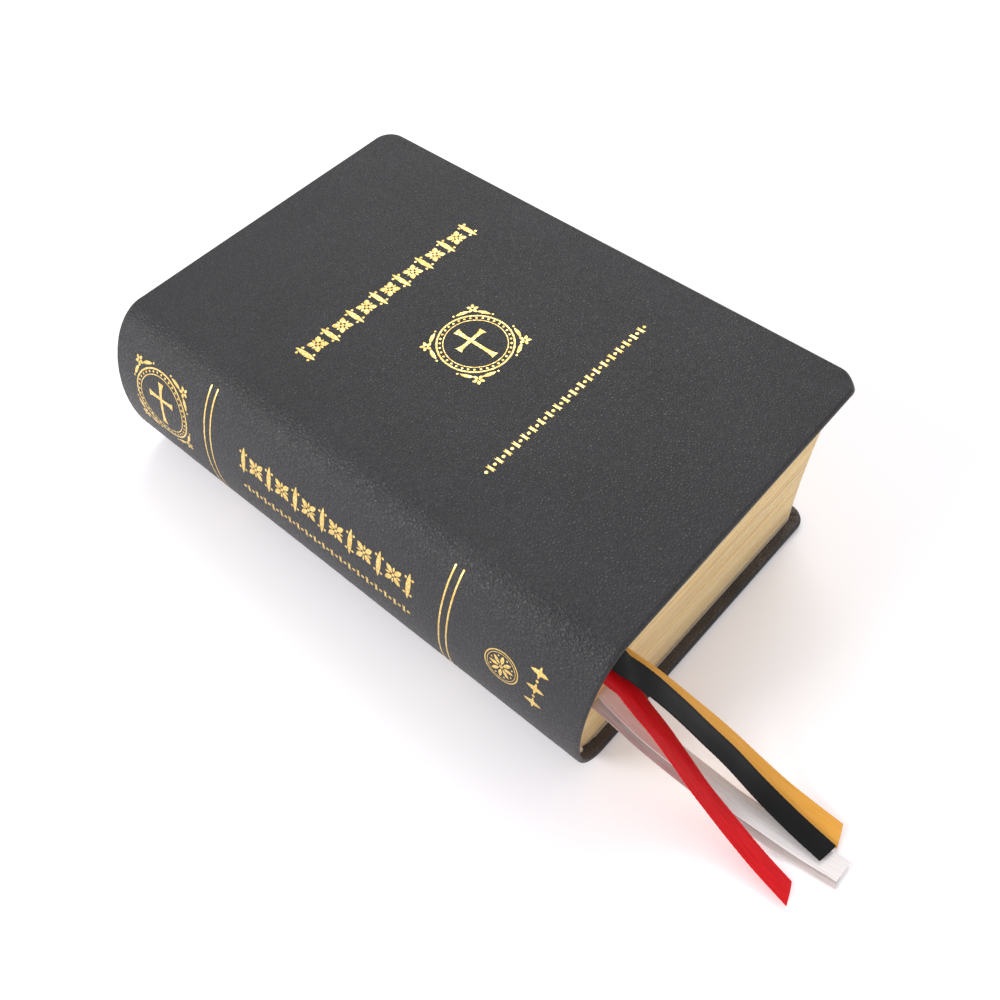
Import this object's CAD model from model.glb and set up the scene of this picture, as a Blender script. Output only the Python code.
import math
import random

import bmesh
import bpy
import numpy as np
from mathutils import Matrix, Vector, noise


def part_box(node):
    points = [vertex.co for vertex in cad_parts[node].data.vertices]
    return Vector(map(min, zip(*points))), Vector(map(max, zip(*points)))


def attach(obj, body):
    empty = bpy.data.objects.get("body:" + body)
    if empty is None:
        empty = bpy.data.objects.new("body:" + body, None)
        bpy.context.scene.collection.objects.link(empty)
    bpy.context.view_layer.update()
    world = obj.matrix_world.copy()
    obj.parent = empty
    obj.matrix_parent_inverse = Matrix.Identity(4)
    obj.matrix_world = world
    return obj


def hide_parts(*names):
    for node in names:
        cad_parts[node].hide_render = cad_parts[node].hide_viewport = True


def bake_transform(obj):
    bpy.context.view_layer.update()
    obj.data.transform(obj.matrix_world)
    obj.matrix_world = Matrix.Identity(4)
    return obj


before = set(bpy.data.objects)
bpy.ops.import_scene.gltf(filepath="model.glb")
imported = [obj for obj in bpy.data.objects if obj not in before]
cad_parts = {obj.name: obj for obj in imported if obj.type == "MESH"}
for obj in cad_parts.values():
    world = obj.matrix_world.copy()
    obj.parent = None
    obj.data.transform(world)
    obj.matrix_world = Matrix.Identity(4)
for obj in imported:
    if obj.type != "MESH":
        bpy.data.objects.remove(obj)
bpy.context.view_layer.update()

# ---- Sizes, in millimetres, from the frame ----

MM = 0.001


def mm_box(node):
    """Lowest and highest corner of a CAD node, in millimetres."""
    low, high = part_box(node)
    return np.array(low) / MM, np.array(high) / MM


spine_low, spine_high = mm_box("leather_spine")
back_high = mm_box("leather_back")[1]
fold_high = mm_box("signature_12")[1]
band_low, band_high = mm_box("head_band")

SPINE_ROUND = 14.0  # how far the spine bulges behind the joints
HALF_HEIGHT = spine_high[1]
FORE_X = back_high[0]
SPINE_THICKNESS = spine_low[2] + spine_high[2]
HALF_SPINE = SPINE_THICKNESS / 2
JOINT_X = spine_low[0] + SPINE_ROUND
COVER_WIDTH = FORE_X - JOINT_X
HINGE_DEPTH = 8.0  # how far behind the joint the hinges lie
HINGE_ANGLE = math.acos(HINGE_DEPTH / SPINE_ROUND)
SWELL = math.radians(3.7)  # by how much the front cover rises towards the fore-edge

CORNER = 6.0  # radius of the covers' corners
LEAST_RADIUS = 1.2
LEATHER = 1.1
BOARD_INSET = 1.4  # from the cover's edge to the card
TURNED_AT = 1.9  # depth of the card's inner face
COVER_THICK = 2.3  # at the turned-in border
SPINE_EDGE_THICK = 1.5
PARED = 0.4  # thickness of the turned-in leather
TURN_IN = 10.6  # width of the turned-in border
ENDPAPER = 0.2
FLYLEAF_AT = 2.35

SIGNATURES = 24
FIRST_SIGNATURES = 3  # those that turn with the front cover
BOUND_SIGNATURES = SIGNATURES - FIRST_SIGNATURES
LEAVES = 8  # bundles of leaves drawn in each signature
PAGE_HALF = fold_high[1]
PAGE_CORNER = 5.0
PAGES_AT = 2.6  # height of the lowest page
PAGES_DEPTH = 2.8  # of the folds, under the spine's face
PAGE_RISE = (SPINE_THICKNESS - 2 * PAGES_AT) / SIGNATURES
PAGES_FORE = FORE_X - 2.2
FORE_HOLLOW = 2.6

RIBBON_WIDTH = 6.3
RIBBON_THICK = 0.3
FLOOR_LEVEL = -0.15

# ---- Camera ----

CAMERA_PLACE = (-0.15474, -0.13746, 0.24636)
CAMERA_HEADING = 49.12  # degrees from +Y towards +X
CAMERA_DIP = 51.92  # degrees below the horizon
CAMERA_ROLL = 0.83


def in_scene(name, data):
    """A new object in the scene."""
    made = bpy.data.objects.new(name, data)
    bpy.context.scene.collection.objects.link(made)
    return made


camera = in_scene("camera", bpy.data.cameras.new("camera"))
camera.data.lens = 37.6
camera.data.sensor_width = 36.0
camera.data.shift_x = 0.0244
camera.data.shift_y = 0.0175
camera.data.clip_start = 0.01
camera.data.clip_end = 20.0
heading, dip = math.radians(CAMERA_HEADING), math.radians(CAMERA_DIP)
gaze = Vector((math.sin(heading) * math.cos(dip), math.cos(heading) * math.cos(dip), -math.sin(dip)))
roll = Matrix.Rotation(math.radians(CAMERA_ROLL), 4, "Z").to_quaternion()
camera.rotation_mode = "QUATERNION"
camera.rotation_quaternion = gaze.to_track_quat("-Z", "Y") @ roll
camera.location = CAMERA_PLACE
bpy.context.scene.camera = camera

# ---- Materials ----


def linear(hex_colour):
    """An sRGB hex colour as linear red, green, blue and alpha."""
    parts = [int(hex_colour[i : i + 2], 16) / 255 for i in (1, 3, 5)]
    return tuple(c / 12.92 if c <= 0.04045 else ((c + 0.055) / 1.055) ** 2.4 for c in parts) + (1.0,)


def per_metre(size_mm):
    """Texture scale at which one feature is size_mm wide."""
    return 1.0 / (size_mm * MM)


def add(tree, kind, inputs=None, **settings):
    """Adds a node with its settings. An input is a value, or the node or output that it is linked to."""
    made = tree.nodes.new("ShaderNode" + kind)
    for name, value in settings.items():
        setattr(made, name, value)
    for name, value in (inputs or {}).items():
        if isinstance(value, bpy.types.Node):
            value = value.outputs[0]
        if isinstance(value, bpy.types.NodeSocket):
            tree.links.new(value, made.inputs[name])
        else:
            made.inputs[name].default_value = value
    return made


MIX_FACTOR, MIX_A, MIX_B, MIX_OUT = 0, 6, 7, 2  # the colour sockets of a Mix node


def new_material(name):
    """An empty node material, and its tree."""
    material = bpy.data.materials.new(name)
    material.use_nodes = True
    material.node_tree.nodes.clear()
    return material, material.node_tree


def finished(material, shader):
    """The material, with its shader joined to its output."""
    add(material.node_tree, "OutputMaterial", {"Surface": shader})
    return material


def pebbled_heights(tree, pebble, fine, where):
    """Heights of a plated leather grain: rounded pebbles parted by fine valleys, with pores."""
    warp = add(tree, "TexNoise", {"Vector": where, "Scale": per_metre(pebble * 2.2), "Detail": 2.0})
    shift = add(tree, "VectorMath", {0: warp.outputs["Color"], 1: (0.5, 0.5, 0.5)}, operation="SUBTRACT")
    shift = add(tree, "VectorMath", {0: shift, "Scale": pebble * 0.9 * MM}, operation="SCALE")
    bent = add(tree, "VectorMath", {0: where, 1: shift}, operation="ADD")
    cells = add(tree, "TexVoronoi", {"Vector": bent, "Scale": per_metre(pebble)},
                feature="DISTANCE_TO_EDGE")
    domes = add(tree, "MapRange", {"Value": cells.outputs["Distance"], "From Max": 0.32},
                interpolation_type="SMOOTHSTEP")
    pores = add(tree, "TexNoise", {"Vector": where, "Scale": per_metre(fine), "Detail": 3.0})
    return add(tree, "Math", {0: pores.outputs["Fac"], 1: 0.35, 2: domes}, operation="MULTIPLY_ADD")


def bonded_leather(name, tone, worn, gloss):
    """Bonded leather, dyed through and plated with a goat grain: satin, with a soft broad highlight
    that the pebbles break up. The pebbles are 0.8 mm wide where it lies flat, and 1.15 mm and deeper
    over the spine, where it was wetted and drawn tight."""
    material, tree = new_material(name)
    where = add(tree, "TexCoord").outputs["Object"]
    drawn = add(tree, "Attribute", attribute_name="worked", attribute_type="GEOMETRY").outputs["Fac"]
    flat = pebbled_heights(tree, 0.8, 0.22, where)
    coarse = pebbled_heights(tree, 1.15, 0.3, where)
    heights = add(tree, "Mix", {0: drawn, 2: flat, 3: coarse})
    patches = add(tree, "TexNoise", {"Vector": where, "Scale": per_metre(28.0), "Detail": 4.0})
    wear = add(tree, "MapRange", {"Value": patches.outputs["Fac"], "From Min": 0.35, "From Max": 0.75})
    tops = add(tree, "Math", {0: heights, 1: wear}, operation="MULTIPLY")
    colour = add(tree, "Mix", {MIX_FACTOR: tops, MIX_A: linear(tone), MIX_B: linear(worn)},
                 data_type="RGBA")
    rough = add(tree, "MapRange", {"Value": heights, "To Min": gloss + 0.18, "To Max": gloss})
    depth = add(tree, "MapRange", {"Value": drawn, "To Min": 0.45, "To Max": 1.0})
    relief_height = add(tree, "Math", {0: heights, 1: depth}, operation="MULTIPLY")
    slow = add(tree, "Bump", {"Height": patches.outputs["Fac"], "Distance": 0.35 * MM, "Strength": 0.5})
    bump = add(tree, "Bump", {"Height": relief_height, "Distance": 0.24 * MM, "Strength": 1.0,
                              "Normal": slow})
    return finished(material, add(tree, "BsdfPrincipled", {
        "Base Color": colour.outputs[MIX_OUT], "Roughness": rough, "Normal": bump, "IOR": 1.5}))


def gold_foil(name, bright, deep):
    """Gold foil blocked hot into leather: thin bright metal that keeps the grain underneath,
    duller where the foil has sunk into the valleys."""
    material, tree = new_material(name)
    where = add(tree, "TexCoord").outputs["Object"]
    heights = pebbled_heights(tree, 0.95, 0.24, where)
    colour = add(tree, "Mix", {MIX_FACTOR: heights, MIX_A: linear(deep), MIX_B: linear(bright)},
                 data_type="RGBA")
    rough = add(tree, "MapRange", {"Value": heights, "To Min": 0.5, "To Max": 0.3})
    bump = add(tree, "Bump", {"Height": heights, "Distance": 0.02 * MM, "Strength": 0.6})
    return finished(material, add(tree, "BsdfPrincipled", {
        "Base Color": colour.outputs[MIX_OUT], "Metallic": 1.0, "Roughness": rough, "Normal": bump}))


def gilt_edge():
    """Book edges gilded with foil and burnished: pale gold, satin, ruled by the leaves' own edges.
    The leaves are 0.05 mm thick; their lines are drawn at 0.45 mm, which the eye can still part.
    Low down, where the book was opened most, dark lines show between gatherings."""
    material, tree = new_material("gilded_paper_edge")
    where = add(tree, "TexCoord").outputs["Object"]
    drawn_out = []
    for sizes, detail in (((70.0, 60.0, 0.45), 3.0), ((30.0, 26.0, 2.2), 2.0), ((220.0, 180.0, 0.8), 1.0)):
        lie = add(tree, "Mapping", {"Vector": where, "Scale": [per_metre(size) for size in sizes]})
        drawn_out.append(add(tree, "TexNoise", {"Vector": lie, "Scale": 1.0, "Detail": detail}))
    lines, bands, gaps = drawn_out
    tone = add(tree, "MapRange", {"Value": lines.outputs["Fac"], "From Min": 0.34, "From Max": 0.66})
    pale = add(tree, "Mix", {MIX_FACTOR: tone, MIX_A: linear("#DBA94C"),
                             MIX_B: linear("#FFEAAD")}, data_type="RGBA")
    worn = add(tree, "MapRange", {"Value": bands.outputs["Fac"], "From Min": 0.4, "From Max": 0.75})
    worn = add(tree, "Math", {0: worn, 1: 0.45}, operation="MULTIPLY")
    colour = add(tree, "Mix", {MIX_FACTOR: worn, MIX_A: pale.outputs[MIX_OUT],
                               MIX_B: linear("#FADB98")}, data_type="RGBA")
    height = add(tree, "SeparateXYZ", {0: where})
    low = add(tree, "MapRange", {"Value": height.outputs["Z"], "From Min": 5.0 * MM, "From Max": 16.0 * MM,
                                 "To Min": 1.0, "To Max": 0.0})
    gaps = add(tree, "MapRange", {"Value": gaps.outputs["Fac"], "From Min": 0.5, "From Max": 0.62})
    gaps = add(tree, "Math", {0: gaps, 1: low}, operation="MULTIPLY")
    gaps = add(tree, "Math", {0: gaps, 1: 0.8}, operation="MULTIPLY")
    colour = add(tree, "Mix", {MIX_FACTOR: gaps, MIX_A: colour.outputs[MIX_OUT],
                               MIX_B: linear("#7A5226")}, data_type="RGBA")
    rough = add(tree, "MapRange", {"Value": lines.outputs["Fac"], "To Min": 0.5, "To Max": 0.36})
    bump = add(tree, "Bump", {"Height": lines.outputs["Fac"], "Distance": 0.06 * MM, "Strength": 0.7})
    return finished(material, add(tree, "BsdfPrincipled", {
        "Base Color": colour.outputs[MIX_OUT], "Metallic": 0.65, "Roughness": rough, "Normal": bump}))


def paper(name, tone, shade, fibre, depth):
    """Uncoated machine-made paper: matt, with a cloudy look-through and fibres lying every way."""
    material, tree = new_material(name)
    where = add(tree, "TexCoord").outputs["Object"]
    clouds = add(tree, "TexNoise", {"Vector": where, "Scale": per_metre(7.0), "Detail": 4.0})
    fibres = add(tree, "TexNoise", {"Vector": where, "Scale": per_metre(fibre), "Detail": 5.0,
                                    "Distortion": 1.5})
    mottle = add(tree, "Math", {0: clouds.outputs["Fac"], 1: fibres.outputs["Fac"]}, operation="MULTIPLY")
    colour = add(tree, "Mix", {MIX_FACTOR: mottle, MIX_A: linear(tone), MIX_B: linear(shade)},
                 data_type="RGBA")
    rough = add(tree, "MapRange", {"Value": fibres.outputs["Fac"], "To Min": 0.8, "To Max": 0.96})
    bump = add(tree, "Bump", {"Height": fibres.outputs["Fac"], "Distance": depth * MM, "Strength": 0.6})
    return finished(material, add(tree, "BsdfPrincipled", {
        "Base Color": colour.outputs[MIX_OUT], "Roughness": rough, "Normal": bump, "IOR": 1.45}))


SATIN_THREAD = 0.34


def satin_ribbon(name, tone, light, gloss):
    """Woven polyester satin: long floating threads along the ribbon give a streaked silky shine, and
    the selvedges are plain woven. Real threads are 0.1 mm apart; they are drawn wider, to show."""
    material, tree = new_material(name)
    lie = add(tree, "UVMap", uv_map="weave")  # across and along, in millimetres
    across = add(tree, "SeparateXYZ", {0: lie})
    floats = add(tree, "Mapping", {"Vector": lie, "Scale": (1 / SATIN_THREAD, 1 / 9.0, 1.0)})
    streaks = add(tree, "TexNoise", {"Vector": floats, "Scale": 1.0, "Detail": 3.0})
    warp = add(tree, "Math", {0: across.outputs["X"], 1: 2 * math.pi / SATIN_THREAD}, operation="MULTIPLY")
    warp = add(tree, "Math", {0: warp}, operation="SINE")
    weft = add(tree, "Math", {0: across.outputs["Y"], 1: 2 * math.pi / (SATIN_THREAD * 1.5)},
               operation="MULTIPLY")
    weft = add(tree, "Math", {0: weft}, operation="SINE")
    out_from_middle = add(tree, "Math", {0: across.outputs["X"]}, operation="ABSOLUTE")
    edge = add(tree, "MapRange", {"Value": out_from_middle,
                                  "From Min": RIBBON_WIDTH / 2 - 0.75, "From Max": RIBBON_WIDTH / 2 - 0.45})
    knots = add(tree, "Math", {0: warp, 1: weft}, operation="MULTIPLY")
    knots = add(tree, "Math", {0: knots, 1: edge}, operation="MULTIPLY")
    ridges = add(tree, "Math", {0: weft, 1: 0.08, 2: streaks.outputs["Fac"]}, operation="MULTIPLY_ADD")
    heights = add(tree, "Math", {0: knots, 1: 1.1, 2: ridges}, operation="MULTIPLY_ADD")
    shine = add(tree, "MapRange", {"Value": streaks.outputs["Fac"], "From Min": 0.3, "From Max": 0.72})
    colour = add(tree, "Mix", {MIX_FACTOR: shine, MIX_A: linear(tone), MIX_B: linear(light)},
                 data_type="RGBA")
    rough = add(tree, "MapRange", {"Value": edge, "To Min": gloss, "To Max": gloss + 0.25})
    bump = add(tree, "Bump", {"Height": heights, "Distance": 0.03 * MM, "Strength": 0.7})
    return finished(material, add(tree, "BsdfPrincipled", {
        "Base Color": colour.outputs[MIX_OUT], "Roughness": rough,
        "Normal": bump, "IOR": 1.5, "Specular IOR Level": 0.22}))


def spun_thread(name, tone, shade, twist):
    """Twisted cotton or silk thread: each strand a small bright ridge, darker in between."""
    material, tree = new_material(name)
    where = add(tree, "TexCoord").outputs["Object"]
    strands = add(tree, "TexWave", {"Vector": where, "Scale": per_metre(twist) / 6.0, "Distortion": 2.0,
                                    "Detail": 2.0}, bands_direction="DIAGONAL")
    fuzz = add(tree, "TexNoise", {"Vector": where, "Scale": per_metre(twist * 0.6), "Detail": 4.0})
    fine = add(tree, "Math", {0: strands.outputs["Fac"], 1: fuzz.outputs["Fac"]}, operation="MULTIPLY")
    colour = add(tree, "Mix", {MIX_FACTOR: fine, MIX_A: linear(shade), MIX_B: linear(tone)},
                 data_type="RGBA")
    bump = add(tree, "Bump", {"Height": fine, "Distance": 0.08 * MM, "Strength": 0.8})
    return finished(material, add(tree, "BsdfPrincipled", {
        "Base Color": colour.outputs[MIX_OUT], "Roughness": 0.7, "Normal": bump, "Sheen Weight": 0.3}))


UNDERLIGHT = 0.17  # how brightly the table glows of itself


def lit_table():
    """Opal acrylic shooting table, sand-blasted and lit from below: matt white with pale shadows."""
    material, tree = new_material("opal_acrylic_shooting_table")
    where = add(tree, "TexCoord").outputs["Object"]
    tooth = add(tree, "TexNoise", {"Vector": where, "Scale": per_metre(1.5), "Detail": 4.0})
    colour = add(tree, "Mix", {MIX_FACTOR: tooth.outputs["Fac"], MIX_A: linear("#FBF9FA"),
                               MIX_B: linear("#F7F4F6")}, data_type="RGBA")
    return finished(material, add(tree, "BsdfPrincipled", {
        "Base Color": colour.outputs[MIX_OUT], "Roughness": 0.9,
        "Emission Color": linear("#FFFCFE"), "Emission Strength": UNDERLIGHT}))


LEATHER_BLACK = bonded_leather("black_bonded_leather", "#202022", "#2C2B2D", 0.4)
# Pared thin to be turned in, which leaves it browner and rougher
LEATHER_TURNED = bonded_leather("pared_turned_in_leather", "#38312B", "#6E6156", 0.46)
CARD = paper("grey_binders_card", "#9A9284", "#7F776A", 0.5, 0.06)
ENDPAPER_WHITE = paper("white_wove_endpaper", "#F6F3EC", "#E9E4DA", 0.35, 0.03)
LEAF_PAPER = paper("cream_bible_paper", "#F4EEDF", "#E8E0CC", 0.25, 0.015)
LINING_PAPER = paper("brown_kraft_lining", "#B39266", "#8F7049", 0.4, 0.05)
GILT = gilt_edge()
FOIL = gold_foil("blocked_gold_foil", "#FBE29C", "#D9B057")
LINEN_THREAD = spun_thread("linen_sewing_thread", "#EFE7D2", "#B9AD90", 0.3)
BINDING_GAUZE = spun_thread("starched_cotton_gauze", "#EDE8DA", "#A79F8C", 0.9)
BAND_SILK = spun_thread("silk_head_band", "#F1EAD6", "#B5A27A", 0.4)

# ---- Mesh tools ----


def smooth(t):
    """0 to 1 with level ends."""
    t = np.clip(t, 0.0, 1.0)
    return t * t * (3.0 - 2.0 * t)


class Shape:
    """Collects the points, in millimetres, and the faces of one closed piece."""

    def __init__(self):
        self.points, self.faces, self.kinds, self.uvs, self.marks = [], [], [], [], []

    def add(self, points):
        """Adds a table of points, and gives their numbers. A fourth value is how worked the leather is."""
        points = np.asarray(points, float)
        first = len(self.points)
        if points.shape[-1] == 4:
            self.marks.extend(points[..., 3].ravel())
        self.points.extend(points[..., :3].reshape(-1, 3))
        return np.arange(first, len(self.points)).reshape(points.shape[:-1])

    def face(self, corners, kind=0):
        self.faces.append(tuple(int(c) for c in corners))
        self.kinds.append(kind)

    def skin(self, ids, kind=0, ring=False):
        """Quads over a table of point numbers; ring joins its last column to its first."""
        ids = np.asarray(ids)
        if ring:
            ids = np.concatenate([ids, ids[:, :1]], axis=1)
        for upper, lower in zip(ids[:-1], ids[1:]):
            for j in range(len(upper) - 1):
                self.face((upper[j], lower[j], lower[j + 1], upper[j + 1]), kind)

    def tube(self, rings):
        """A closed tube over rings of points."""
        ids = self.add(rings)
        self.skin(ids, ring=True)
        self.face(ids[0])
        self.face(ids[-1])

    def piece(self, name, materials, body=None, slot=None, stands_for=(), sharp=50.0, uv_name=None):
        """The finished object, riding on a body. Edges that fold by more than sharp stay crisp."""
        mesh = bpy.data.meshes.new(name)
        mesh.from_pydata([tuple(p) for p in np.array(self.points) * MM], [], self.faces)
        for material in materials:
            mesh.materials.append(material)
        mesh.polygons.foreach_set("material_index", self.kinds)
        mesh.polygons.foreach_set("use_smooth", [True] * len(mesh.polygons))
        if self.marks:
            mesh.attributes.new("worked", "FLOAT", "POINT").data.foreach_set("value", self.marks)
        if uv_name:
            layer = mesh.uv_layers.new(name=uv_name)
            for loop in mesh.loops:
                layer.data[loop.index].uv = self.uvs[loop.vertex_index]
        sides = bmesh.new()
        sides.from_mesh(mesh)
        bmesh.ops.recalc_face_normals(sides, faces=sides.faces)
        sides.to_mesh(mesh)
        sides.free()
        mesh.set_sharp_from_angle(angle=math.radians(sharp))
        piece = in_scene(name, mesh)
        if body:
            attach(piece, body)
        if stands_for:
            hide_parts(*stands_for)
        return piece


def run_along(line):
    """Distance run at each point of a line, and the way that it goes there."""
    runs = np.concatenate([[0.0], np.cumsum(np.linalg.norm(np.diff(line, axis=0), axis=1))])
    ahead = np.gradient(line, axis=0)
    return runs, ahead / np.linalg.norm(ahead, axis=1)[:, None]


# ---- Ribbon markers ----

RED_ROUTE = [
    (-46, -82.5, 41.1), (-45.6, -85, 39.6), (-44.5, -88, 36.5), (-43.5, -93, 31), (-42.5, -98, 25.5),
    (-42, -104, 19.5), (-42, -111, 13.5), (-42, -119, 8), (-43, -130, 3.5), (-44, -140, 1),
]
BLACK_ROUTE = [
    (-43, -82.5, 43.2), (-42.5, -85, 41.6), (-41, -88, 39), (-39, -93, 35), (-36.5, -99, 29),
    (-34, -106, 22), (-32, -113, 16), (-30.5, -122, 9), (-30, -132, 4.5), (-30, -142, 2),
]
GOLD_ROUTE = [
    (-40.2, -82.5, 39.35), (-39.2, -85.5, 37.9), (-36.8, -91, 33.8), (-33.8, -98, 27.6),
    (-30.9, -104.5, 21.3), (-28.6, -111, 15.5), (-26.8, -118, 10), (-25.3, -126, 5.2),
    (-24.4, -134, 2.6), (-23.8, -142, 1),
]
WHITE_ROUTE = [
    (-43, -82.5, 27.6), (-43, -85, 26.2), (-42.4, -88, 23.7), (-41, -94, 19), (-39, -102, 14),
    (-37, -110, 9.5), (-35.5, -118, 6), (-34, -126, 3.6), (-32.5, -136, 1.6), (-31, -147, 1),
]
MAUVE_ROUTE = [
    (-45, -82.5, 25.6), (-44.8, -85, 24.2), (-44, -88, 21.8), (-42.5, -94, 17.2), (-40.5, -102, 12.2),
    (-38.5, -110, 7.8), (-37, -118, 4.4), (-35.5, -126, 2.2), (-34, -136, 0.6), (-32.5, -147, 0.4),
]
INSIDE_RUN = (80, 50, 20, -10, -40, -65, -80)  # y of a ribbon's points between the leaves


def whole_route(outside):
    """A ribbon's whole route: straight between the leaves, then out over the tail."""
    x, _, z = outside[0]
    return [(x, y, z) for y in INSIDE_RUN] + list(outside)


def spline_through(points, step):
    """Points about step apart on a smooth curve through the given ones."""
    points = np.array(points, float)
    padded = np.vstack([2 * points[0] - points[1], points, 2 * points[-1] - points[-2]])
    found = []
    for a, b, c, d in zip(padded[:-3], padded[1:-2], padded[2:-1], padded[3:]):
        count = max(2, int(np.linalg.norm(c - b) / step))
        for t in np.arange(count) / count:
            found.append(0.5 * (2 * b + (c - a) * t + (2 * a - 5 * b + 4 * c - d) * t**2
                                + (3 * b - a - 3 * c + d) * t**3))
    return np.array(found + [points[-1]])


# A ribbon's section, as shares of its half width and of its half thickness: flat, with thicker edges
RIBBON_QUARTER = [(1.0, 0.0), (0.985, 0.5), (0.94, 0.8), (0.88, 0.6), (0.5, 0.55)]
RIBBON_TOP = RIBBON_QUARTER + [(0.0, 0.55)] + [(-wide, thick) for wide, thick in RIBBON_QUARTER[:0:-1]]
RIBBON_SECTION = RIBBON_TOP + [(-wide, -thick) for wide, thick in RIBBON_TOP]
RIBBON_STEP = 0.7  # between the rings of a ribbon
FREED_OVER = 30.0  # distance from the pages over which a ribbon comes to its full twist
CUT_LENGTH = 9.0  # length of the slanted end
PICOT = 1.4  # between the loops of a selvedge


def ribbon(name, node, outside, material, cut, turn, crown):
    """One ribbon marker. cut slants its free end, turn twists it and crown cups it outside the book."""
    line = spline_through(whole_route(outside), RIBBON_STEP)
    runs, ahead = run_along(line)
    shape = Shape()
    rings = []
    for i, (place, way) in enumerate(zip(line, ahead)):
        across = np.cross(way, (0.0, 0.0, 1.0))
        across /= np.linalg.norm(across)
        up = np.cross(across, way)
        free = float(smooth((-place[1] - PAGE_HALF) / FREED_OVER))
        twist = math.radians(turn) * free
        across, up = (across * math.cos(twist) + up * math.sin(twist),
                      up * math.cos(twist) - across * math.sin(twist))
        to_end = runs[-1] - runs[i]
        ring = []
        for wide, thick in RIBBON_SECTION:
            side = wide * RIBBON_WIDTH / 2
            slide = cut * wide * max(0.0, 1.0 - to_end / CUT_LENGTH)
            picot = 1.0 + 0.012 * math.sin(runs[i] * 2 * math.pi / PICOT) if abs(wide) > 0.9 else 1.0
            lift = thick * RIBBON_THICK / 2 + crown * free * (1 - wide * wide)
            ring.append(place + across * side * picot + up * lift + way * slide)
            shape.uvs.append((side, runs[i]))
        rings.append(ring)
    shape.tube(rings)
    piece = shape.piece(name, [material], "text_block", node, (node,), sharp=60.0, uv_name="weave")


# Name, CAD node, route, thread colours, gloss, cut, turn and crown
for hue, node, route, tone, light, gloss, cut, turn, crown in (
        ("red", "ribbon_red", RED_ROUTE, "#CC0811", "#EC1A23", 0.34, 1.2, 14.0, 0.25),
        ("black", "ribbon_black", BLACK_ROUTE, "#060607", "#111213", 0.34, -0.6, 4.0, 0.3),
        ("amber", "ribbon_gold", GOLD_ROUTE, "#E3A03C", "#F0B052", 0.34, 0.8, -4.0, 0.25),
        ("white", "ribbon_white", WHITE_ROUTE, "#E6DFDD", "#F7F3F2", 0.4, -0.5, 2.0, 0.2),
        ("mauve", "ribbon_mauve", MAUVE_ROUTE, "#C9BAB6", "#E2D8D5", 0.4, 0.3, -2.0, 0.15)):
    ribbon(hue + "_marker", node, route, satin_ribbon(hue + "_polyester_satin", tone, light, gloss),
           cut, turn, crown)

# ---- The hide's own line: from the back cover's fore-edge, round the spine, to the front's ----

arc = np.linspace(-math.pi / 2, math.pi / 2, 2001)
arc_x = JOINT_X - SPINE_ROUND * np.cos(arc)
arc_z = HALF_SPINE + HALF_SPINE * np.sin(arc)
arc_run = np.concatenate([[0.0], np.cumsum(np.hypot(np.diff(arc_x), np.diff(arc_z)))])

S_BACK_JOINT = COVER_WIDTH
S_FRONT_JOINT = COVER_WIDTH + arc_run[-1]
S_END = S_FRONT_JOINT + COVER_WIDTH


def s_at_angle(angle):
    """Distance along the hide at an angle round the spine."""
    return S_BACK_JOINT + float(np.interp(angle, arc, arc_run))


def hide_line(s):
    """Place (x, z) and inward direction of the hide's outer face at distance s."""
    if s < S_BACK_JOINT:
        return FORE_X - s, 0.0, 0.0, 1.0
    if s > S_FRONT_JOINT:
        run = s - S_FRONT_JOINT
        return (JOINT_X + run * math.cos(SWELL), SPINE_THICKNESS + run * math.sin(SWELL),
                math.sin(SWELL), -math.cos(SWELL))
    angle = float(np.interp(s - S_BACK_JOINT, arc_run, arc))
    along_x, along_z = SPINE_ROUND * math.sin(angle), HALF_SPINE * math.cos(angle)
    size = math.hypot(along_x, along_z)
    return (JOINT_X - SPINE_ROUND * math.cos(angle), HALF_SPINE + HALF_SPINE * math.sin(angle),
            along_z / size, -along_x / size)


S_BACK_HINGE = s_at_angle(-HINGE_ANGLE)
S_FRONT_HINGE = s_at_angle(HINGE_ANGLE)
SEAM_SETBACK = 5.0
S_BACK_SEAM = S_BACK_HINGE + SEAM_SETBACK
S_FRONT_SEAM = S_FRONT_HINGE - SEAM_SETBACK

DROOP_REACH = 6.8  # from the square corner
DROOP = 1.8  # at the square corner, which the rounding cuts off


def droop(s, y):
    """How far the very tip of the front cover's limp tail corner hangs down."""
    if s < S_FRONT_JOINT:
        return 0.0
    away = math.hypot(S_END - s, y + HALF_HEIGHT)
    return DROOP * float(smooth((DROOP_REACH - away) / DROOP_REACH))


def worked(s):
    """How coarse the grain is, from 0 to 1: most over the spine, where the leather was drawn tight,
    less at its shoulders, and least on the covers."""
    from_back, from_front = s - S_BACK_JOINT, S_FRONT_JOINT - s
    shoulders = [math.exp(-(((run - 5.0) / 8.0) ** 2)) for run in (from_front, from_back)]
    spine = 0.7 * float(smooth((from_front - 3.0) / 10.0)) * float(smooth((from_back - 3.0) / 10.0))
    return max(0.6 * shoulders[0], 0.6 * shoulders[1], spine, 0.12)


def relief(s, y):
    """Hollows and creases of the leather's own face, in millimetres."""
    slow = 0.10 * noise.noise(Vector((s / 26.0, y / 26.0, 7.3)))
    ridge = 1.0 - 2.0 * abs(noise.noise(Vector((s / 2.3, y / 3.6, 14.6))))
    fine = 1.0 - 2.0 * abs(noise.noise(Vector((s / 1.5, y / 1.5, 21.9))))
    return slow + worked(s) * (0.045 * ridge + 0.045 * fine) - 0.03


def on_hide(s, y, depth, skin=0.0):
    """Point at a depth below the hide's outer face; skin is its share of the face's relief."""
    x, z, in_x, in_z = hide_line(s)
    out = -depth - droop(s, y)
    if skin:
        out += skin * relief(s, y)
    return x - in_x * out, y, z - in_z * out


# ---- Sheets with two rounded fore-edge corners ----


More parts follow.
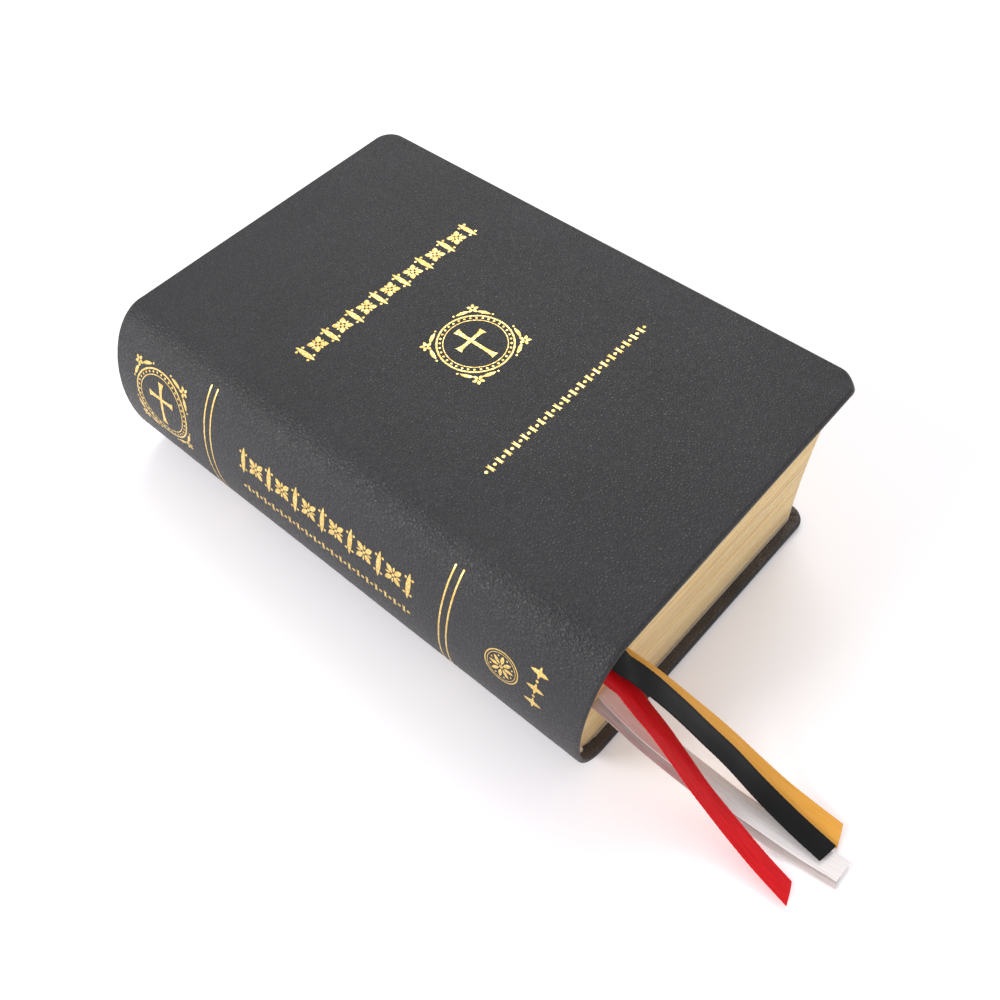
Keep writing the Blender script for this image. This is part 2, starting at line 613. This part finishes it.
def sheet_rows(corner_steps, flat_steps):
    """Rows from tail to head: (end, turn round the corner, level between the corners)."""
    turns = [math.pi / 2 * (1 - k / corner_steps) for k in range(corner_steps)]
    flat = [2.0 * k / flat_steps - 1.0 for k in range(flat_steps + 1)]
    return [(-1, a, 0.0) for a in turns] + [(0, 0.0, v) for v in flat] + [(1, a, 0.0) for a in turns[::-1]]


def sheet_point(u, row, width, half, radius, inset=0.0):
    """Distance from the joint, and y, of a point on a sheet drawn in from its edges by inset."""
    end, turn, level = row
    small = max(radius - inset, LEAST_RADIUS)
    centre = inset + small
    y = level * (half - centre) if end == 0 else end * (half - centre + small * math.sin(turn))
    reach = width - centre + small * (math.cos(turn) if end else 1.0)
    return u * reach, y


def rim(ids):
    """The point numbers all the way round a table."""
    return np.concatenate([ids[:, 0], ids[-1, 1:], ids[-2::-1, -1], ids[0, -2:0:-1]])


def slab(shape, top, bottom, kinds=(0, 0, 0)):
    """Closes two tables of points into a thin sheet: top, bottom and wall, with their materials."""
    upper, lower = shape.add(top), shape.add(bottom)
    shape.skin(upper, kinds[0])
    shape.skin(lower, kinds[1])
    shape.skin(np.array([rim(upper), rim(lower)]), kinds[2], ring=True)


# ---- Leather ----

ROLL_STEPS = 7  # round the folded edge
# Insets of the turned-in leather's face, out to its end, and back under it to the card
TURNED_IN = [(inset, 0.0) for inset in (1.5, 2.1, 2.8, 3.6, 5.2, 7.5, TURN_IN)]
TURNED_IN += [(TURN_IN, PARED), (BOARD_INSET, PARED)]
HIDE_ROWS = sheet_rows(28, 180)
PLEATS = 5.0  # how often a corner's leather is gathered, in each half turn
PLEAT_HEIGHT = 1.1
PLEAT_AT, PLEAT_SPREAD = 1.9, 1.8  # inset of the pleats' highest part, and their reach from it


def edge_thickness(s):
    """Thickness of the leather's folded edge: full on the covers, thinner over the spine."""
    front = smooth((s - S_FRONT_HINGE + 4.0) / 12.0)
    back = smooth((S_BACK_HINGE + 4.0 - s) / 12.0)
    return SPINE_EDGE_THICK + (COVER_THICK - SPINE_EDGE_THICK) * float(max(front, back))


def gathers(row, inset):
    """Height of the pleats of turned-in leather, gathered round a corner."""
    end, turn, _ = row
    if not end:
        return 0.0
    fold = abs(math.cos(PLEATS * turn)) ** 0.8
    fade = math.exp(-(((inset - PLEAT_AT) / PLEAT_SPREAD) ** 2))
    return PLEAT_HEIGHT * math.sin(2 * turn) ** 0.5 * fold * fade


def hide(s_seam, s_end, columns, rounded):
    """One stretch of the leather, folded in at its edges, as a closed shape from its seam."""
    way = 1.0 if s_end > s_seam else -1.0
    width = abs(s_end - s_seam)
    shape = Shape()

    def place(u, row, inset, depth, skin=0.0):
        """Point at an inset and a share of the edge's thickness, or at a depth, under the face."""
        if rounded:
            t, y = sheet_point(u, row, width, HALF_HEIGHT, CORNER, inset)
        else:
            t, y = u * width, sheet_point(u, row, width, HALF_HEIGHT, CORNER, inset)[1]
        s = s_seam + way * t
        return (*on_hide(s, y, depth, skin), worked(s))

    def thick(u, row):
        t = sheet_point(u, row, width, HALF_HEIGHT, CORNER)[0] if rounded else u * width
        return edge_thickness(s_seam + way * t)

    outer = shape.add([[place(u, row, thick(u, row) / 2, 0.0, 1.0) for row in HIDE_ROWS] for u in columns])
    under = [[min(LEATHER, thick(u, row) - PARED - 0.06) for row in HIDE_ROWS] for u in columns]
    inner = shape.add([[place(u, row, BOARD_INSET, under[i][j]) for j, row in enumerate(HIDE_ROWS)]
                       for i, u in enumerate(columns)])
    shape.skin(outer)
    shape.skin(inner)
    last, end = len(columns) - 1, len(HIDE_ROWS) - 1
    tail = [(i, 0) for i in range(last + 1)]
    head = [(i, end) for i in range(last, -1, -1)]
    fore = [(last, j) for j in range(1, end)]
    for path in [tail + fore + head] if rounded else [tail, head]:
        rings = [[outer[i, j] for i, j in path]]
        for k in range(1, ROLL_STEPS + 1):
            turn = math.pi * k / ROLL_STEPS
            points = []
            for i, j in path:
                e = thick(columns[i], HIDE_ROWS[j]) / 2
                points.append(place(columns[i], HIDE_ROWS[j], e * (1 - math.sin(turn)),
                                    e * (1 - math.cos(turn)), max(0.0, math.cos(turn))))
            rings.append(shape.add(points))
        shape.skin(rings[:ROLL_STEPS])
        edge_rings, rings = rings[:ROLL_STEPS], rings[ROLL_STEPS - 1 :]
        for inset, thinner in TURNED_IN:
            points = []
            for i, j in path:
                depth = thick(columns[i], HIDE_ROWS[j]) - thinner
                if rounded and i == last and not thinner:
                    depth += gathers(HIDE_ROWS[j], inset)
                points.append(place(columns[i], HIDE_ROWS[j], inset, depth))
            rings.append(shape.add(points))
        rings.append([inner[i, j] for i, j in path])
        shape.skin(rings, 1)
        shape.face([ring[0] for ring in edge_rings + rings[1:]])
        shape.face([ring[-1] for ring in edge_rings + rings[1:]])
    for i in (0,) if rounded else (0, last):
        shape.skin([outer[i], inner[i]])
    return shape


FINE_TO = 34.0  # distance from the seam over which a cover's leather has its points closer


def cover_columns(width, fine, coarse):
    """Shares of a cover's width at which its leather has points: closer together near the spine."""
    near = np.arange(0.0, FINE_TO, fine)
    far = np.linspace(FINE_TO, width, int((width - FINE_TO) / coarse) + 1)
    return list(np.concatenate([near, far]) / width)


front_width = S_END - S_FRONT_SEAM
back_width = S_BACK_SEAM
spine_width = S_FRONT_SEAM - S_BACK_SEAM

HIDE_MATERIALS = [LEATHER_BLACK, LEATHER_TURNED]
front_columns = cover_columns(front_width, 0.65, 1.3)
back_columns = cover_columns(back_width, 0.75, 1.5)
spine_columns = list(np.linspace(0, 1, int(spine_width / 0.65)))

front_leather = hide(S_FRONT_SEAM, S_END, front_columns, True).piece(
    "front_leather", HIDE_MATERIALS, slot="black_leather", stands_for=("leather_front",))
back_leather = hide(S_BACK_SEAM, 0.0, back_columns, True).piece(
    "back_leather", HIDE_MATERIALS, slot="black_leather", stands_for=("leather_back",))
hide(S_BACK_SEAM, S_FRONT_SEAM, spine_columns, False).piece(
    "spine_leather", HIDE_MATERIALS, "text_block", "black_leather", ("leather_spine",))


def bend_front(piece):
    """Lets a piece of the front cover's leather bend round the front hinge."""
    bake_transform(piece)


bend_front(front_leather)
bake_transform(back_leather)

# ---- Cards and endpapers ----


def cover_sheet(name, front, start, width, half, radius, depths, materials, body, slot, stands_for,
                ripple=0.0):
    """A sheet that lies parallel to a cover, from a distance past the joint, between two depths."""
    joint, way = (S_FRONT_JOINT, 1.0) if front else (S_BACK_JOINT, -1.0)
    rows = sheet_rows(8, 26)
    columns = np.linspace(0, 1, 30)
    faces = []
    for depth in depths:
        table = []
        for u in columns:
            line = []
            for row in rows:
                t, y = sheet_point(u, row, width - start, half, radius)
                wave = ripple * u * noise.noise(Vector((t / 30.0, y / 30.0, 3.1 if front else 5.2)))
                line.append(on_hide(joint + way * (start + t), y, depth + wave))
            table.append(line)
        faces.append(table)
    shape = Shape()
    slab(shape, *faces)
    return shape.piece(name, materials, body, slot, (stands_for,))


for cover, front in (("front", True), ("back", False)):
    body = cover + "_cover"
    cover_sheet(cover + "_card", front, 2.4, COVER_WIDTH - BOARD_INSET - 0.1, HALF_HEIGHT - BOARD_INSET - 0.1,
                CORNER - BOARD_INSET, (LEATHER + 0.03, TURNED_AT - 0.03), [CARD], body, "cover_card",
                cover + "_board")
    cover_sheet(cover + "_endpaper", front, 0.0, COVER_WIDTH - TURN_IN - 0.2,
                HALF_HEIGHT - TURN_IN - 0.2, 2.5, (TURNED_AT, TURNED_AT + ENDPAPER), [ENDPAPER_WHITE],
                body, "endpaper", cover + "_pastedown")
    cover_sheet(cover + "_free_leaf", front, 0.0, PAGES_FORE - JOINT_X, PAGE_HALF, PAGE_CORNER,
                (FLYLEAF_AT, FLYLEAF_AT + ENDPAPER), [ENDPAPER_WHITE], cover + "_flyleaf", "endpaper",
                cover + "_flyleaf", ripple=0.02)

# ---- Pages ----

# Ribbons between the leaves: x and z of each
LAID_RIBBONS = [(route[0][0], route[0][2]) for route in
                (RED_ROUTE, BLACK_ROUTE, GOLD_ROUTE, WHITE_ROUTE, MAUVE_ROUTE)]
RIBBON_ROOM = RIBBON_THICK * 1.3 / 2 + 0.02
RIBBON_SHOULDER = 3.0  # how far beside a ribbon the leaves still stand apart
GIVE = 1.4  # how far above and below a ribbon the leaves are pushed aside


def plain_leaf(k, x):
    """Height at x of the face below leaf number k, counted in signatures."""
    return PAGES_AT + k * PAGE_RISE + (x - JOINT_X) * math.tan(SWELL * k / SIGNATURES)


def parted_at(x, z):
    """The leaf boundary nearest to a ribbon, counted in bundles."""
    k = (z - PAGES_AT) / (PAGE_RISE + (x - JOINT_X) * math.tan(SWELL / SIGNATURES))
    return round(k * LEAVES)


PARTINGS = [(x, z, parted_at(x, z)) for x, z in LAID_RIBBONS]


def leaf(bundle, x, above):
    """Height of a face between bundles of leaves, parted round the ribbons. above: it is the lower
    face of the bundle over it."""
    z = plain_leaf(bundle / LEAVES, x)
    for ribbon_x, ribbon_z, parting in PARTINGS:
        beside = abs(x - ribbon_x) - RIBBON_WIDTH / 2
        share = 1.0 - float(smooth(beside / RIBBON_SHOULDER))
        if not share:
            continue
        side = 1 if bundle > parting or (bundle == parting and above) else -1
        off = ribbon_z - plain_leaf(parting / LEAVES, ribbon_x)
        away = abs(bundle - parting) / LEAVES * PAGE_RISE
        z += share * (off + side * RIBBON_ROOM) * math.exp(-away / GIVE)
    return z


def back_of_leaf(bundle):
    """x where the leaves' folds meet the rounding of the spine."""
    rise = (PAGES_AT + bundle / LEAVES * PAGE_RISE - HALF_SPINE) / (HALF_SPINE - PAGES_DEPTH)
    return JOINT_X - (SPINE_ROUND - PAGES_DEPTH) * math.sqrt(max(0.0, 1.0 - rise * rise))


def fore_of_leaf(bundle):
    return PAGES_FORE - FORE_HOLLOW * (1.0 - (2.0 * bundle / LEAVES / SIGNATURES - 1.0) ** 2)


LEAF_ROWS = sheet_rows(5, 7)
LEAF_GAP = 0.012  # half the air between two bundles
leaf_columns = np.linspace(0.0, 1.0, 34) ** 1.25
random.seed(24)

for number in range(1, SIGNATURES + 1):
    shape = Shape()
    for j in range(LEAVES):
        lower = (number - 1) * LEAVES + j
        short, narrow = random.uniform(0.0, 0.10), random.uniform(0.0, 0.10)
        tables = []
        for bundle, above, inward in ((lower + 1, False, -LEAF_GAP), (lower, True, LEAF_GAP)):
            x_back = back_of_leaf(bundle) + (0.05 if j in (0, LEAVES - 1) else 0.0)
            width = fore_of_leaf(lower + 0.5) - narrow - x_back
            table = []
            for u in leaf_columns:
                line = []
                for row in LEAF_ROWS:
                    t, y = sheet_point(u, row, width, PAGE_HALF - short, PAGE_CORNER)
                    line.append((x_back + t, y, leaf(bundle, x_back + t, above) + inward))
                table.append(line)
            tables.append(table)
        slab(shape, tables[0], tables[1], kinds=(0, 0, 1))
    shape.piece("pages_%02d" % number, [LEAF_PAPER, GILT],
                "text_block" if number <= BOUND_SIGNATURES else "first_pages", "gilt_pages",
                ("signature_%02d" % number,), sharp=30.0)

# ---- Head and tail bands ----

BAND_RADIUS = (band_high[1] - band_low[1]) / 2
BAND_WRAP = 0.55  # width of one turn of the silk


def end_band(name, node, side):
    """A cord wound with silk along the end of the folds."""
    depth = PAGES_DEPTH - 0.1
    reach = math.asin((band_high[2] - HALF_SPINE) / (HALF_SPINE - depth + BAND_RADIUS))
    angles = np.linspace(-reach, reach, 900)
    line = np.stack([JOINT_X - (SPINE_ROUND - depth) * np.cos(angles), 0 * angles,
                     HALF_SPINE + (HALF_SPINE - depth) * np.sin(angles)], axis=1)
    runs, ahead = run_along(line)
    shape = Shape()
    rings = []
    for place, way, run in zip(line, ahead, runs):
        out = np.cross(way, (0.0, 1.0, 0.0))
        ring = []
        for a in np.arange(12) * math.pi / 6:
            wound = BAND_RADIUS * (0.93 + 0.07 * abs(math.cos(math.pi * run / BAND_WRAP + 0.5 * a)))
            ring.append(place + out * wound * math.cos(a)
                        + np.array((0.0, side * (PAGE_HALF + BAND_RADIUS) + wound * math.sin(a), 0.0)))
        rings.append(ring)
    shape.tube(rings)
    shape.piece(name, [BAND_SILK], "text_block", "band_silk", (node,), sharp=80.0)


end_band("wound_head_band", "head_band", 1)
end_band("wound_tail_band", "tail_band", -1)

for node, material in (("sewing_thread", LINEN_THREAD), ("spine_gauze", BINDING_GAUZE),
                       ("spine_lining", LINING_PAPER)):
    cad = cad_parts[node]
    for slot in cad.material_slots:
        slot.material = material

# ---- Gold ornament ----

FOIL_PROUD = 0.05  # above the leather, at the middle of a stroke
FOIL_EDGE = 0.6 * FOIL_PROUD
FOIL_SUNK = 0.12


class Stamp:
    """Gold blocked into the leather: strokes and dots in millimetres, u along a line and v across."""

    def __init__(self, to_hide):
        self.to_hide = to_hide  # turns (u, v) into distance along the hide and y
        self.shape = Shape()

    def on_leather(self, u, v, height):
        s, y = self.to_hide(u, v)
        return on_hide(s, y, -height, 1.0)

    def stroke(self, points, widths, ring=False):
        """A band of foil of varying width along a line."""
        points = np.array(points, float)
        widths = np.broadcast_to(widths, len(points))
        if ring:
            ahead = np.roll(points, -1, axis=0) - np.roll(points, 1, axis=0)
        else:
            ahead = np.gradient(points, axis=0)
        ahead /= np.linalg.norm(ahead, axis=1)[:, None]
        beside = np.stack([-ahead[:, 1], ahead[:, 0]], axis=1)
        rows = []
        for p, n, w in zip(points, beside, widths):
            left, right = p + n * w / 2, p - n * w / 2
            rows.append([self.on_leather(*left, -FOIL_SUNK), self.on_leather(*left, FOIL_EDGE),
                         self.on_leather(*p, FOIL_PROUD), self.on_leather(*right, FOIL_EDGE),
                         self.on_leather(*right, -FOIL_SUNK)])
        ids = self.shape.add(rows)
        if ring:
            ids = np.vstack([ids, ids[:1]])
        self.shape.skin(ids, ring=True)
        if not ring:
            self.shape.face(ids[0])
            self.shape.face(ids[-1])

    def line(self, start, end, width, step=0.6):
        count = max(3, int(math.dist(start, end) / step) + 1)
        self.stroke(np.linspace(start, end, count), width)

    def spindle(self, start, end, width, bow=0.0):
        """A leaf: pointed at both ends, bowed sideways."""
        start, end = np.array(start, float), np.array(end, float)
        t = np.linspace(0, 1, max(7, int(math.dist(start, end) / 0.4)))
        side = np.array([-(end - start)[1], (end - start)[0]]) * bow
        points = start + np.outer(t, end - start) + np.outer(np.sin(math.pi * t), side)
        self.stroke(points, 0.06 + width * np.sin(math.pi * t) ** 0.8)

    def dot(self, centre, radius, sides=10):
        turns = np.arange(sides) * 2 * math.pi / sides
        around = [(centre[0] + radius * math.cos(a), centre[1] + radius * math.sin(a)) for a in turns]
        top = self.shape.add([self.on_leather(u, v, FOIL_EDGE) for u, v in around])
        low = self.shape.add([self.on_leather(u, v, -FOIL_SUNK) for u, v in around])
        peak = self.shape.add([self.on_leather(*centre, FOIL_PROUD)])[0]
        for a, b in zip(top, np.roll(top, -1)):
            self.shape.face((a, b, peak))
        self.shape.skin([top, low], ring=True)
        self.shape.face(low)

    def circle(self, centre, radius, width):
        turns = np.linspace(0, 2 * math.pi, max(24, int(radius * 9)), endpoint=False)
        self.stroke([(centre[0] + radius * math.cos(a), centre[1] + radius * math.sin(a)) for a in turns],
                    width, ring=True)

    def piece(self, name, body=None):
        return self.shape.piece(name, [FOIL], body, sharp=60.0)


def polar(centre, radius, degrees):
    return (centre[0] + radius * math.cos(math.radians(degrees)),
            centre[1] + radius * math.sin(math.radians(degrees)))


def emblem(stamp, centre, size):
    """A plain flared cross in a beaded ring, with a flower between two leaves on each diagonal."""
    stamp.circle(centre, 10.5 * size, 0.5 * size)
    stamp.circle(centre, 8.8 * size, 0.28 * size)
    for k in range(36):
        stamp.dot(polar(centre, 9.65 * size, 10 * k), 0.36 * size, 8)
    arm = np.linspace(-1, 1, 25)
    flare = (1.0 + 1.3 * np.abs(arm) ** 5) * size
    middle = np.array(centre)
    bar = middle + (0.0, 1.7 * size)
    stamp.stroke(middle + np.outer(arm * 7.0 * size, (0.0, 1.0)), flare)
    stamp.stroke(bar + np.outer(arm * 4.9 * size, (1.0, 0.0)), flare)
    for turn in (45, 135, 225, 315):
        for side in (-1, 1):
            hug = turn + side * np.linspace(5, 24, 9)
            swell = 0.08 + 1.0 * np.sin(np.linspace(0, math.pi, 9)) ** 0.8
            reach = (11.75 + 0.5 * np.linspace(1, 0, 9)) * size
            stamp.stroke([polar(centre, r, a) for r, a in zip(reach, hug)], swell * size)
            stamp.dot(polar(centre, 11.9 * size, turn + side * 27), 0.34 * size, 8)
        flower = polar(centre, 13.3 * size, turn)
        for petal in range(5):
            tilt = turn + 72 * petal
            stamp.spindle(polar(flower, 0.25 * size, tilt), polar(flower, 1.75 * size, tilt), 0.85 * size)


def lozenge_row(stamp, start, end, level, height, pitch):
    """A border of four-petalled flowers parted by tall lozenges between beads."""
    count = round((end - start) / pitch)
    pitch = (end - start) / count
    for k in range(count + 1):
        at = start + pitch * k
        stamp.spindle((at, level - height / 2), (at, level + height / 2), 1.5)
        for side in (-1, 1):
            for lean in (-1, 1):
                stamp.dot((at + lean * 1.15, level + side * height * 0.30), 0.42, 9)
        if k == count:
            continue
        middle = (at + pitch / 2, level)
        for turn in (45, 135, 225, 315):
            stamp.spindle(polar(middle, 0.55, turn), polar(middle, 0.40 * height, turn), 1.55)
        for turn in (0, 90, 180, 270):
            stamp.spindle(polar(middle, 0.9, turn), polar(middle, 0.30 * height, turn), 0.6)
        stamp.dot(middle, 0.5)


def bead_and_reel(stamp, start, end, level, height, pitch):
    """A line of beads, each between a pair of upright reels."""
    count = round((end - start) / pitch)
    pitch = (end - start) / count
    for k in range(count + 1):
        at = start + pitch * k
        stamp.dot((at, level), height * 0.19, 9)
        if k < count:
            for side in (-1, 1):
                x = at + pitch / 2 + 0.4 * side
                stamp.spindle((x, level - height / 2), (x, level + height / 2), 0.6, 0.12 * side)


def on_front(u, v):
    """Distance along the hide, and y, of a point of the front cover: u is x, v is y."""
    return S_FRONT_JOINT + (u - JOINT_X) / math.cos(SWELL), v


def on_spine(below_joint):
    """Places u along the spine from head to tail, and v up towards the front cover from a line that
    lies a distance round the spine from the front joint."""
    return lambda u, v: (S_FRONT_JOINT - below_joint + v, -u)


def stamp_piece(name, body, to_hide, draw, *sizes):
    """One ornament, drawn and fixed to its body."""
    stamp = Stamp(to_hide)
    draw(stamp, *sizes)
    return stamp.piece(name, body)


def rosette(stamp, centre, radius):
    """Eight petals in a double ring."""
    stamp.circle(centre, radius, 0.32)
    stamp.circle(centre, radius * 0.86, 0.18)
    for petal in range(8):
        stamp.spindle(polar(centre, 0.8, 45 * petal), polar(centre, radius * 0.74, 45 * petal), 1.05)
        stamp.dot(polar(centre, radius * 0.68, 45 * petal + 22.5), 0.28, 7)
    stamp.dot(centre, 0.6)


def small_lozenges(stamp, at, step):
    """Three crossed lozenges in a row round the spine."""
    for k in (-1, 0, 1):
        stamp.spindle((at - 2.6, k * step), (at + 2.6, k * step), 1.4)
        stamp.spindle((at, k * step - 2.0), (at, k * step + 2.0), 0.9)
    for k in (-0.5, 0.5):
        stamp.dot((at, k * step), 0.45)


def double_rules(stamp, places, start, end):
    """Pairs of straight rules across the spine."""
    for at in places:
        stamp.line((at, start), (at, end), 0.5)


stamp_piece("front_title_border", "front_cover", on_front, lozenge_row, -29.0, 36.0, 32.5, 7.4, 9.3)
stamp_piece("front_emblem", "front_cover", on_front, emblem, (3.0, 0.0), 1.0)
stamp_piece("front_bead_line", "front_cover", on_front, bead_and_reel, -28.0, 36.5, -31.0, 2.6, 3.2)
stamp_piece("spine_emblem", "text_block", on_spine(25.5), emblem, (-65.2, 0.0), 1.03)
stamp_piece("spine_title_border", "text_block", on_spine(23.0), lozenge_row, -30.0, 31.0, 0.0, 8.8, 10.2)
stamp_piece("spine_bead_line", "text_block", on_spine(33.0), bead_and_reel, -30.5, 31.5, 0.0, 3.0, 3.3)
stamp_piece("spine_rosette", "text_block", on_spine(26.0), rosette, (61.5, 0.0), 5.0)
stamp_piece("spine_lozenges", "text_block", on_spine(24.6), small_lozenges, 71.6, 5.6)
bend_front(stamp_piece("spine_rules", None, on_spine(0.0), double_rules, (-46.2, -43.7, 41.7, 44.2),
                       -8.3, 8.3 - arc_run[-1]))

# ---- Floor and light ----


def stage_floor():
    """A wide table top under the book."""
    mesh = bpy.data.meshes.new("floor")
    reach, level = 2.5, FLOOR_LEVEL * MM
    mesh.from_pydata([(-reach, -reach, level), (reach, -reach, level), (reach, reach, level),
                      (-reach, reach, level)], [], [(0, 1, 2, 3)])
    mesh.materials.append(lit_table())
    in_scene("floor", mesh)


def softbox(name, place, size, power):
    """A square white area light that faces the book."""
    light = bpy.data.lights.new(name, "AREA")
    light.shape = "SQUARE"
    light.size = size
    light.energy = power
    lamp = in_scene(name, light)
    lamp.location = place
    lamp.rotation_mode = "QUATERNION"
    lamp.rotation_quaternion = (-Vector(place)).to_track_quat("-Z", "Y")


stage_floor()
softbox("key_softbox", (1.1, 0.8, 1.8), 1.2, 15.0)
softbox("shoulder_softbox", (-1.14, 0.6, 0.72), 0.6, 13.0)

world = bpy.data.worlds.new("white_room")
world.use_nodes = True
world.node_tree.nodes.clear()
background = add(world.node_tree, "Background", {"Color": linear("#FDFCFF"), "Strength": 0.7})
add(world.node_tree, "OutputWorld", {"Surface": background})
bpy.context.scene.world = world
bpy.context.scene.view_settings.view_transform = "Standard"
